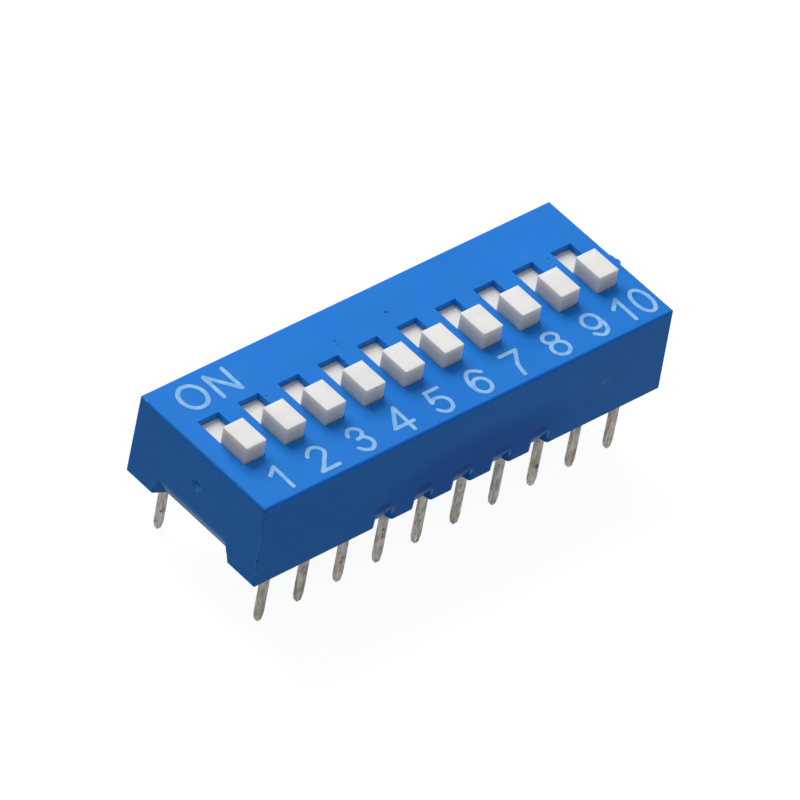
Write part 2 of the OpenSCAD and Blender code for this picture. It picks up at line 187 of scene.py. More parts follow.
class Paint:
    """The node tree of a material or of the world."""

    def __init__(self, owner: bpy.types.Material | bpy.types.World) -> None:
        """Empties the owner's tree.

        Args:
            owner: What the tree belongs to.
        """
        owner.use_nodes = True
        self.tree = owner.node_tree
        self.tree.nodes.clear()

    def node(
        self,
        kind: str,
        settings: Mapping[str, Any],
        sockets: Mapping[int | str, Operand],
        output: int | str = 0,
    ) -> Value:
        """Adds any node.

        Args:
            kind: The node's type, such as "ShaderNodeTexNoise".
            settings: The node's own settings, made before its sockets are filled.
            sockets: A value or a link for each input socket, by name or number.
            output: The output socket to hand back.

        Returns:
            The chosen output.
        """
        made = self.tree.nodes.new(kind)
        for name, setting in settings.items():
            setattr(made, name, setting)
        for key, content in sockets.items():
            socket = made.inputs[key]
            if isinstance(content, Value):
                self.tree.links.new(content.socket, socket)
            elif isinstance(content, tuple) and socket.type == "RGBA":
                socket.default_value = (*content, 1.0)
            else:
                socket.default_value = content
        return Value(self, made.outputs[output])

    @cached_property
    def place(self) -> Value:
        """Place on the part, in millimetres, made when it is first asked for."""
        return self.node("ShaderNodeTexCoord", {}, {}, output="Object") * PER_MM

    def mix(self, share: Operand, under: Operand, over: Operand) -> Value:
        """Blends two colours.

        Args:
            share: How much of the upper colour shows.
            under: The lower colour.
            over: The upper colour.

        Returns:
            The blend.
        """
        return self.node("ShaderNodeMix", {"data_type": "RGBA"}, {0: share, 6: under, 7: over}, output=2)

    def noise(self, kind: Noise) -> Value:
        """Cloudy noise from 0 to 1, with its middle at 0.5.

        Args:
            kind: The noise's size and shape.

        Returns:
            The noise, spread out over its band if it has one.
        """
        squeeze = tuple(1.0 / longer for longer in kind.stretch)
        sockets = {"Vector": self.place * squeeze, "Scale": kind.per_mm, "Detail": kind.detail}
        cloudy = self.node("ShaderNodeTexNoise", {"normalize": True}, sockets)
        return cloudy.ramp(*kind.band) if kind.band else cloudy

    def bump(self, height: Value, depth: float) -> Value:
        """Surface relief.

        Args:
            height: The relief, from 0 to 1.
            depth: Its depth in millimetres.

        Returns:
            The bent normal.
        """
        return self.node("ShaderNodeBump", {}, {"Height": height, "Distance": depth * MM})

    def near(self, mark: Mark, wander: Value) -> Value:
        """Mask of a mark.

        The offset from the mark's first copy is shortened by the pitch times the nearest whole number of
        pitches, kept between 0 and the number of further copies. The distance is the length of that offset
        over the reach, and a ragged mark adds its share of the wander to it.

        Args:
            mark: The mark.
            wander: Noise round 0 that moves a ragged edge.

        Returns:
            1 in the mark's core, and 0 past its reach.
        """
        x, y, z = mark.centre
        offset = self.place - (mark.row.x(1) + x, y, z)
        if mark.row.count > 1:
            steps = (offset.axis(0) / mark.row.pitch).whole().either(0).at_most(mark.row.count - 1)
            offset = offset - steps * (mark.row.pitch, 0.0, 0.0)
        distance = (offset / mark.reach).length()
        if mark.ragged:
            distance = distance + wander * mark.ragged
        return distance.ramp(1.0, mark.core)

    def marked(self, colour: Operand, marks: Iterable[Mark]) -> Operand:
        """Lays marks over a colour, one after another.

        Args:
            colour: The colour under them.
            marks: The marks, the lowest first.

        Returns:
            The marked colour.
        """
        wander = self.noise(WANDER) - 0.5
        for mark in marks:
            colour = self.mix(self.near(mark, wander) * mark.strength, colour, mark.tint)
        return colour

    def end(self, surface: Value, kind: str) -> None:
        """Links the last shader to the tree's output.

        Args:
            surface: The shader.
            kind: The output node's type.
        """
        output = self.tree.nodes.new(kind)
        self.tree.links.new(surface.socket, output.inputs["Surface"])


# ---- Finishes ----


@dataclass(frozen=True)
class Noise:
    """A size and shape of cloudy noise.

    Attributes:
        per_mm: Clouds in a millimetre.
        detail: Octaves of finer noise on top.
        stretch: How much longer than wide the clouds are, along each axis.
        band: Levels that become 0 and 1; without it the noise stays mostly between 0.3 and 0.7.
    """

    per_mm: float
    detail: float = 2.0
    stretch: Point = (1, 1, 1)
    band: Pair | None = None


WANDER = Noise(6.0, detail=3.0)


@dataclass(frozen=True)
class Mark:
    """A soft-edged mark on a surface, filling an ellipsoid.

    Attributes:
        centre: Its middle, or in a row its middle's offset from a place of the row.
        reach: Its half-size along each axis.
        tint: The colour that it takes on.
        strength: How much of the tint shows.
        core: The share of the reach that is fully tinted.
        ragged: How far noise moves its edge, as a share of the reach.
        row: The places where it is repeated.
    """

    centre: Point
    reach: Point
    tint: Colour
    strength: float = 1.0
    core: float = 0.4
    ragged: float = 0.0
    row: Row = ALONE


@dataclass(frozen=True)
class Scatter:
    """Light that passes through the material under its skin.

    Attributes:
        weight: How much light does.
        reach: How far red, green and blue travel, as shares of the depth.
        depth: How deep the light goes, in millimetres.
    """

    weight: float
    reach: Colour
    depth: float

    def sockets(self) -> dict[str, Operand]:
        """The shader's sockets for it."""
        size = self.depth * MM
        return {"Subsurface Weight": self.weight, "Subsurface Radius": self.reach, "Subsurface Scale": size}


@dataclass(frozen=True)
class Finish:
    """What a surface is made of.

    Attributes:
        name: The material's name.
        marks: Scuffs, specks and stains on it.
        roughness: Of the plain surface.
        uneven: How much the grain moves the roughness.
        relief: Depth of its relief, in millimetres.
        gloss: Strength of its shine where it isn't metal.
    """

    name: str
    marks: tuple[Mark, ...] = ()
    roughness: float = 0.5
    uneven: float = 0.2
    relief: float = 0.01
    gloss: float = 0.5

    def material(self) -> bpy.types.Material:
        """Builds the material.

        Returns:
            The material, which ends in one Principled shader.
        """
        made = bpy.data.materials.new(self.name)
        paint = Paint(made)
        sockets = {"Specular IOR Level": self.gloss, **self.sockets(paint)}
        paint.end(paint.node("ShaderNodeBsdfPrincipled", {}, sockets), "ShaderNodeOutputMaterial")
        return made

    def sockets(self, paint: Paint) -> dict[str, Operand]:
        """The shader's sockets, apart from its shine and what stays at its default.

        Args:
            paint: The material's node tree.

        Returns:
            A value or a link for each socket, by name.
        """
        raise NotImplementedError


@dataclass(frozen=True)
class BluePlastic(Finish):
    """Satin blue moulding compound, slightly translucent, with the tool's fine grain.

    Attributes:
        colour: Its own colour.
        deep: The colour where the compound is a little denser.
        clouds: Slow changes of its density.
        flow: Faint lines that the melt left along the part.
        grain: The fine grain of the tool.
        peel: The slow waves of its skin.
        scatter: The light inside it.
    """

    colour: Colour = (0.015, 0.214, 0.718)
    deep: Colour = (0.011, 0.190, 0.670)
    clouds: Noise = Noise(0.22, detail=3.0, band=(0.35, 0.65))
    flow: Noise = Noise(2.6, detail=3.0, stretch=(14, 4, 1), band=(0.35, 0.65))
    grain: Noise = Noise(7.0)
    peel: Noise = Noise(0.8, detail=1.0)
    roughness: float = 0.46
    uneven: float = 0.16
    relief: float = 0.012
    gloss: float = 0.09
    scatter: Scatter = Scatter(0.3, (0.05, 0.25, 1.0), 0.5)

    def sockets(self, paint: Paint) -> dict[str, Operand]:
        """Cloudy blue with faint flow lines, fine grain, a faint orange peel and its marks.

        Args:
            paint: The material's node tree.

        Returns:
            A value or a link for each socket, by name.
        """
        clouds = paint.noise(self.clouds)
        flow = paint.noise(self.flow)
        grain = paint.noise(self.grain)
        peel = paint.noise(self.peel)
        colour = paint.mix(clouds * 0.5 + flow * 0.3 + grain * 0.2, self.deep, self.colour)
        return {
            "Base Color": paint.marked(colour, self.marks),
            "Roughness": self.roughness + (grain - 0.5) * self.uneven,
            "Normal": paint.bump(grain * 0.35 + peel * 0.65, self.relief),
            **self.scatter.sockets(),
        }


@dataclass(frozen=True)
class WhitePlastic(Finish):
    """Off-white translucent moulding compound with a satin skin.

    Attributes:
        colour: Its own colour.
        shade: The colour of its greyer clouds.
        high: The warmer colour of the walls just under the top, painted light that leaks from the top.
        middle: The colour half way down the walls, between the painted light and the painted shade.
        low: The greyer colour at the walls' foot, painted shade.
        plate: The colour of the plate that runs in the housing's track.
        top_band: Heights between which the top's colour turns into the walls'.
        high_band: Heights between which the walls' colour turns from high to middle.
        low_band: Heights between which it turns from middle to low.
        plate_band: Heights between which the walls' colour turns into the plate's.
        clouds: Its greyer clouds.
        grain: The fine grain of the tool.
        scatter: The light inside it.
    """

    colour: Colour = (0.83, 0.83, 0.815)
    shade: Colour = (0.78, 0.78, 0.765)
    high: Colour = (0.93, 0.83, 0.66)
    middle: Colour = (0.77, 0.70, 0.59)
    low: Colour = (0.60, 0.63, 0.62)
    plate: Colour = (0.81, 0.795, 0.75)
    top_band: Pair = (6.09, 6.00)
    high_band: Pair = (6.05, 5.55)
    low_band: Pair = (5.55, 5.10)
    plate_band: Pair = (4.86, 4.76)
    clouds: Noise = Noise(0.9, detail=3.0, band=(0.35, 0.65))
    grain: Noise = Noise(9.0)
    roughness: float = 0.45
    gloss: float = 0.4
    scatter: Scatter = Scatter(0.6, (1.0, 0.95, 0.90), 0.5)

    def sockets(self, paint: Paint) -> dict[str, Operand]:
        """Faintly clouded white, with light painted high on its walls and shade painted at their foot, and
        light passing through its edges.

        Args:
            paint: The material's node tree.

        Returns:
            A value or a link for each socket, by name.
        """
        height = paint.place.axis(2)
        clouds = paint.noise(self.clouds)
        grain = paint.noise(self.grain)
        colour = paint.mix(clouds, self.shade, self.colour)
        # Painted light just under the top, turning to painted shade at the walls' foot.
        wall = paint.mix(height.ramp(*self.high_band), self.high, self.middle)
        wall = paint.mix(height.ramp(*self.low_band), wall, self.low)
        colour = paint.mix(height.ramp(*self.top_band), colour, wall)
        colour = paint.mix(height.ramp(*self.plate_band), colour, self.plate)
        return {
            "Base Color": paint.marked(colour, self.marks),
            "Roughness": self.roughness + (grain - 0.5) * self.uneven,
            "Normal": paint.bump(grain * 0.5 + clouds * 0.5, self.relief),
            **self.scatter.sockets(),
        }


@dataclass(frozen=True)
class TinPlating(Finish):
    """Dull tin over a stamped strip: streaks along the pin, cloudy gloss and dark specks.

    Attributes:
        bright: The colour of clean tin.
        warm: The colour where the tin has yellowed.
        dull: The colour of its oxidised streaks.
        speck: The colour of the specks.
        broad: The wider streaks.
        fine: The finer streaks.
        clouds: Slow changes of its gloss.
        yellow: Where it has yellowed.
        small: The smaller specks.
        large: The larger specks.
        speck_share: How much of the specks' colour shows.
        metal: How metallic clean tin is.
    """

    bright: Colour = (0.56, 0.55, 0.53)
    warm: Colour = (0.55, 0.49, 0.41)
    dull: Colour = (0.12, 0.11, 0.09)
    speck: Colour = (0.045, 0.04, 0.035)
    broad: Noise = Noise(6.0, detail=3.0, stretch=(1, 1, 7), band=(0.36, 0.62))
    fine: Noise = Noise(14.0, stretch=(1, 1, 10), band=(0.38, 0.62))
    clouds: Noise = Noise(1.1, detail=3.0, band=(0.35, 0.65))
    yellow: Noise = Noise(0.33, band=(0.4, 0.6))
    small: Noise = Noise(7.0, band=(0.63, 0.70))
    large: Noise = Noise(3.2, detail=4.0, stretch=(1, 1, 2), band=(0.65, 0.72))
    speck_share: float = 0.8
    metal: float = 0.7
    roughness: float = 0.38
    relief: float = 0.012

    def sockets(self, paint: Paint) -> dict[str, Operand]:
        """Two sizes of streaks over slow clouds, then specks of two sizes and the stains.

        Args:
            paint: The material's node tree.

        Returns:
            A value or a link for each socket, by name.
        """
        broad = paint.noise(self.broad)
        fine = paint.noise(self.fine)
        clouds = paint.noise(self.clouds)
        specks = paint.noise(self.small).either(paint.noise(self.large))
        tin = paint.mix(paint.noise(self.yellow), self.bright, self.warm)
        tin = paint.mix(broad * 0.4 + fine * 0.3 + clouds * 0.3, self.dull, tin)
        tin = paint.mix(specks * self.speck_share, tin, self.speck)
        return {
            "Base Color": paint.marked(tin, self.marks),
            "Metallic": self.metal - specks * 0.5,
            "Roughness": self.roughness + clouds * 0.14 + specks * 0.2,
            "Normal": paint.bump(broad * 0.3 + fine * 0.3 + clouds * 0.4 - specks * 0.5, self.relief),
        }


@dataclass(frozen=True)
class GiltPlating(Finish):
    """Gold flash over a rolled spring strip, with fine rolling lines across the clip.

    Attributes:
        bright: The colour of the gold.
        thin: The colour where the flash is thin.
        lines: The rolling lines.
        clouds: Slow changes of the flash's thickness.
    """

    bright: Colour = (0.86, 0.62, 0.26)
    thin: Colour = (0.70, 0.47, 0.20)
    lines: Noise = Noise(12.0, stretch=(1, 8, 1))
    clouds: Noise = Noise(1.5, band=(0.3, 0.7))
    roughness: float = 0.22
    uneven: float = 0.12
    relief: float = 0.003

    def sockets(self, paint: Paint) -> dict[str, Operand]:
        """Clouded gold with lines in its gloss and relief.

        Args:
            paint: The material's node tree.

        Returns:
            A value or a link for each socket, by name.
        """
        lines = paint.noise(self.lines)
        return {
            "Base Color": paint.mix(paint.noise(self.clouds), self.thin, self.bright),
            "Metallic": 1.0,
            "Roughness": self.roughness + lines * self.uneven,
            "Normal": paint.bump(lines, self.relief),
        }


@dataclass(frozen=True)
class PrintInk(Finish):
    """Thin pale ink that lets a little of the blue under it show.

    Attributes:
        full: The colour where the film is full.
        thin: The colour where the blue shows through.
        film: Changes of the film's thickness.
        grain: Its dry grain.
    """

    full: Colour = (0.29, 0.54, 0.88)
    thin: Colour = (0.15, 0.41, 0.82)
    film: Noise = Noise(2.2, detail=4.0, band=(0.28, 0.62))
    grain: Noise = Noise(9.0)
    roughness: float = 0.55
    relief: float = 0.006
    gloss: float = 0.28

    def sockets(self, paint: Paint) -> dict[str, Operand]:
        """A film of uneven thickness with a dry surface.

        Args:
            paint: The material's node tree.

        Returns:
            A value or a link for each socket, by name.
        """
        grain = paint.noise(self.grain)
        return {
            "Base Color": paint.mix(paint.noise(self.film), self.thin, self.full),
            "Roughness": self.roughness + (grain - 0.5) * self.uneven,
            "Normal": paint.bump(grain, self.relief),
        }


# ---- Meshes ----


def grid_mesh(name: str, points: np.ndarray, across: bool, along: bool) -> bpy.types.Mesh:
    """Makes a mesh from a grid of points.

    Args:
        name: The mesh's name.
        points: An array of rows, columns and three coordinates, in millimetres.
        across: Whether the last column joins the first.
        along: Whether the last row joins the first.

    Returns:
        The mesh, in metres, with its doubles unmerged and its faces turned as the grid has them.
    """
    rows, columns = points.shape[:2]
    number = np.arange(rows * columns).reshape(rows, columns)
    number = np.vstack([number, number[:1]]) if along else number
    number = np.hstack([number, number[:, :1]]) if across else number
    quads = np.stack([number[:-1, :-1], number[:-1, 1:], number[1:, 1:], number[1:, :-1]], axis=-1)
    mesh = bpy.data.meshes.new(name)
    mesh.from_pydata((points.reshape(-1, 3) * MM).tolist(), [], quads.reshape(-1, 4).tolist())
    return mesh


def join_meshes(name: str, meshes: Iterable[bpy.types.Mesh]) -> bpy.types.Object:
    """Joins closed meshes into one object, each with merged doubles and faces that point outwards.

    Args:
        name: The object's name.
        meshes: The meshes, which are used up.

    Returns:
        The object, at the origin and in the scene.
    """
    whole = bmesh.new()
    for mesh in meshes:
        part = bmesh.new()
        part.from_mesh(mesh)
        bmesh.ops.remove_doubles(part, verts=part.verts, dist=MERGE)
        bmesh.ops.dissolve_degenerate(part, edges=part.edges, dist=MERGE)
        bmesh.ops.recalc_face_normals(part, faces=part.faces)
        part.to_mesh(mesh)
        part.free()
        whole.from_mesh(mesh)
        bpy.data.meshes.remove(mesh)
    joined = bpy.data.meshes.new(name)
    whole.to_mesh(joined)
    whole.free()
    made = bpy.data.objects.new(name, joined)
    bpy.context.scene.collection.objects.link(made)
    return made


# ---- Printed legend ----


class Path(Enum):
    """How a stroke runs between its points."""

    STRAIGHT = "straight"
    SMOOTH = "smooth"
    OVAL = "oval"


@dataclass(frozen=True)
class Stroke:
    """One pen stroke of a character.

    Attributes:
        path: How it runs.
        points: Its points, or for an oval its centre and its two radii.
    """

    path: Path
    points: tuple[Pair, ...]

    def centre_line(self, step: float) -> np.ndarray:
        """Points along the stroke's middle.

        A smooth stroke is a Catmull-Rom curve: between points B and C, with neighbours A and D, the place at
        t is half of 2B + (C - A)t + (2A - 5B + 4C - D)t^2 + (3B - A - 3C + D)t^3. An oval goes once round its
        centre, with radius times cosine and sine of the angle.

        Args:
            step: The distance between points, roughly, in millimetres.

        Returns:
            An array of points in X and Y.
        """
        given = np.array(self.points)
        if self.path is Path.OVAL:
            centre, radii = given
            count = int(math.ceil(2 * math.pi * radii.max() / step))
            turn = np.linspace(0, 2 * math.pi, count, endpoint=False)
            return centre + radii * np.column_stack([np.cos(turn), np.sin(turn)])
        count = int(math.ceil(np.linalg.norm(np.diff(given, axis=0), axis=1).max() / step))
        share = np.linspace(0, 1, count, endpoint=False)[:, None]
        if self.path is Path.STRAIGHT:
            spans = given[:-1, None] + share * np.diff(given, axis=0)[:, None]
        else:
            padded = np.vstack([2 * given[0] - given[1], given, 2 * given[-1] - given[-2]])
            a, b, c, d = (padded[i : len(padded) - 3 + i, None] for i in range(4))
            linear = (c - a) * share
            square = (2 * a - 5 * b + 4 * c - d) * share**2
            cube = (3 * b - a - 3 * c + d) * share**3
            spans = (2 * b + linear + square + cube) / 2
        return np.vstack([spans.reshape(-1, 2), given[-1:]])


def straight(*points: Pair) -> Stroke:
    """A stroke of straight runs through the points."""
    return Stroke(Path.STRAIGHT, points)


def smooth(*points: Pair) -> Stroke:
    """A curved stroke through the points."""
    return Stroke(Path.SMOOTH, points)


def oval(x: float, y: float, radius_x: float, radius_y: float) -> Stroke:
    """A closed oval stroke."""
    return Stroke(Path.OVAL, ((x, y), (radius_x, radius_y)))


@dataclass(frozen=True)
class Character:
    """A printed sign made of strokes.

    Attributes:
        name: The piece's name.
        origin: Where the strokes' own zero lies on the top face.
        strokes: The strokes.
        pen: The strokes' width.
    """

    name: str
    origin: Pair
    strokes: tuple[Stroke, ...]
    pen: float = 0.22


# The numbers 1 to 10, one after another, each from its own place at the foot line.
NUMBERS: tuple[tuple[Stroke, ...], ...] = (
    (straight((-0.09, 1.17), (0.44, 1.58)), straight((0.44, 1.58), (0.40, 0.03))),
    (
        smooth(
            (-0.25, 1.21), (-0.08, 1.44), (0.22, 1.61), (0.53, 1.51), (0.72, 1.24),
            (0.65, 0.97), (0.37, 0.67), (0.07, 0.33), (-0.26, 0.03),
        ),
        straight((-0.26, 0.03), (0.80, 0.04)),
    ),
    (
        smooth(
            (-0.18, 1.24), (-0.07, 1.45), (0.15, 1.61), (0.41, 1.54), (0.61, 1.30),
            (0.58, 1.09), (0.39, 0.91), (0.12, 0.86),
        ),
        smooth(
            (0.39, 0.91), (0.56, 0.76), (0.70, 0.48), (0.64, 0.21), (0.41, 0.01),
            (0.23, -0.02), (-0.04, 0.11), (-0.24, 0.35),
        ),
    ),
    (
        straight((0.51, 1.63), (0.47, -0.05)),
        straight((0.49, 1.62), (-0.37, 0.42)),
        straight((-0.38, 0.42), (0.82, 0.43)),
    ),
    (
        straight((-0.07, 1.58), (0.75, 1.58)),
        straight((-0.05, 1.58), (-0.175, 0.84)),
        smooth(
            (-0.175, 0.84), (0.02, 1.00), (0.23, 1.03), (0.52, 0.92), (0.70, 0.67),
            (0.70, 0.39), (0.55, 0.12), (0.25, -0.01), (-0.02, 0.08), (-0.25, 0.35),
        ),
    ),
    (
        smooth(
            (0.81, 1.29), (0.59, 1.48), (0.315, 1.61), (0.04, 1.51), (-0.17, 1.18),
            (-0.25, 0.79), (-0.215, 0.39),
        ),
        oval(0.26, 0.51, 0.455, 0.505),
    ),
    (
        straight((-0.26, 1.57), (0.77, 1.57)),
        smooth((0.77, 1.57), (0.435, 1.09), (0.19, 0.67), (0.09, 0.24), (0.05, 0.0)),
    ),
    (oval(0.26, 1.28, 0.424, 0.34), oval(0.27, 0.47, 0.477, 0.47)),
    (
        oval(0.27, 1.10, 0.475, 0.50),
        smooth((0.74, 1.03), (0.78, 0.67), (0.66, 0.27), (0.41, 0.07), (0.18, 0.05), (-0.16, 0.33)),
    ),
    (
        straight((-0.74, 1.14), (-0.17, 1.66)),
        straight((-0.17, 1.66), (-0.19, 0.05)),
        oval(0.96, 0.87, 0.467, 0.83),
    ),
)
LETTER_O = (oval(0.0, 0.0, 0.71, 0.79),)
LETTER_N = (
    straight((0.0, 0.0), (0.0, 1.56)),
    straight((0.03, 1.56), (1.15, 0.0)),
    straight((1.175, 0.0), (1.175, 1.57)),
)


@dataclass
class Legend:
    """The ink on the top face: ON at the back left, and a number in front of each switch.

    Attributes:
        row: The switches.
        top: Height of the top face.
        foot_line: Where the numbers stand.
        on_place: Middle of the letter O.
        n_place: Foot of the letter N's left stem.
        letter_pen: Width of the letters' strokes.
        film: How far the ink stands proud.
        sunk: How far it reaches into the face, so that nothing shows between.
        lift: How much higher each next stroke of a character lies.
        step: Distance between the points along a stroke.
        shoulder: Share of the half-width that the film's flat top takes.
        flank: Share of the film's height where its sides start to lean in.
        cap_rings: Rings of points in a stroke's round end.
        ink: Its finish.
    """

    row: Row
    top: float
    foot_line: float = -4.2
    on_place: Pair = (-11.15, 3.245)
    n_place: Pair = (-9.835, 2.47)
    letter_pen: float = 0.24
    film: float = 0.010
    sunk: float = 0.010
    lift: float = 0.0015
    step: float = 0.06
    shoulder: float = 0.9
    flank: float = 0.5
    cap_rings: int = 5
    ink: PrintInk = PrintInk("print_ink")

    def characters(self) -> list[Character]:
        """Places every sign.

        Returns:
            The signs, in order.
        """
        letters = [
            Character("print_O", self.on_place, LETTER_O, self.letter_pen),
            Character("print_N", self.n_place, LETTER_N, self.letter_pen),
        ]
        numbers = [
            Character(f"print_{number}", (self.row.x(number), self.foot_line), strokes)
            for number, strokes in enumerate(NUMBERS[: self.row.count], start=1)
        ]
        return letters + numbers

    def ribbon(self, name: str, line: np.ndarray, closed: bool, pen: float, rise: float) -> bpy.types.Mesh:
        """Carries the film's cross-section along a stroke.

        The section is a flat box with softened upper corners. On an open stroke, half-circle ends are added:
        at angle a the section is narrowed to the cosine of a, and stands half a pen times the sine of a past
        the stroke's end, so that it closes in a point at a = 90 degrees.

        Args:
            name: The mesh's name.
            line: The stroke's middle, in X and Y.
            closed: Whether the stroke is a loop.
            pen: The stroke's width.
            rise: How much higher than the film it lies.

        Returns:
            The mesh, whose poles are still open.
        """
        if closed:
            tangent = np.roll(line, -1, axis=0) - np.roll(line, 1, axis=0)
        else:
            tangent = np.gradient(line, axis=0)
        tangent /= np.linalg.norm(tangent, axis=1)[:, None]
        half = np.full(len(line), pen / 2)
        if not closed:
            turn = np.radians(np.linspace(90, 0, self.cap_rings, endpoint=False))
            past = np.sin(turn)[:, None] * pen / 2
            narrow = np.cos(turn) * pen / 2
            start = line[0] - tangent[0] * past
            end = (line[-1] + tangent[-1] * past)[::-1]
            line = np.vstack([start, line, end])
            rings = (self.cap_rings, 1)
            tangent = np.vstack([np.tile(tangent[0], rings), tangent, np.tile(tangent[-1], rings)])
            half = np.concatenate([narrow, half, narrow[::-1]])
        side = np.column_stack([-tangent[:, 1], tangent[:, 0]])
        top = self.film + rise
        flank = top * self.flank
        share = np.array([-1.0, -1.0, -self.shoulder, 0.0, self.shoulder, 1.0, 1.0])
        height = np.array([-self.sunk, flank, top, top, top, flank, -self.sunk])
        flat = line[:, None] + side[:, None] * (half[:, None] * share)[..., None]
        z = np.broadcast_to(self.top + height, flat.shape[:2])
        return grid_mesh(name, np.dstack([flat, z]), across=True, along=closed)

    def piece(self, sign: Character) -> bpy.types.Object:
        """Builds a sign.

        Args:
            sign: The sign.

        Returns:
            Its strokes as one object, each a little higher than the one before.
        """
        meshes = []
        for index, stroke in enumerate(sign.strokes):
            line = stroke.centre_line(self.step) + np.array(sign.origin)
            closed = stroke.path is Path.OVAL
            meshes.append(self.ribbon(sign.name, line, closed, sign.pen, index * self.lift))
        return join_meshes(sign.name, meshes)

    def build(self) -> list[str]:
        """Builds and dresses every sign.

        Returns:
            The pieces' names.
        """
        material = self.ink.material()
        pieces = [self.piece(sign) for sign in self.characters()]
        for piece in pieces:
            piece.data.materials.append(material)
            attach(piece, FIXED_BODY)
        return [piece.name for piece in pieces]


# ---- The frame's own pieces ----


def dress(names: Iterable[str], finish: Finish) -> None:
    """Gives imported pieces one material.

    Args:
        names: The pieces' node names.
        finish: What they are made of.
    """
    material = finish.material()
    for name in names:
        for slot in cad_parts[name].material_slots:
            slot.material = material


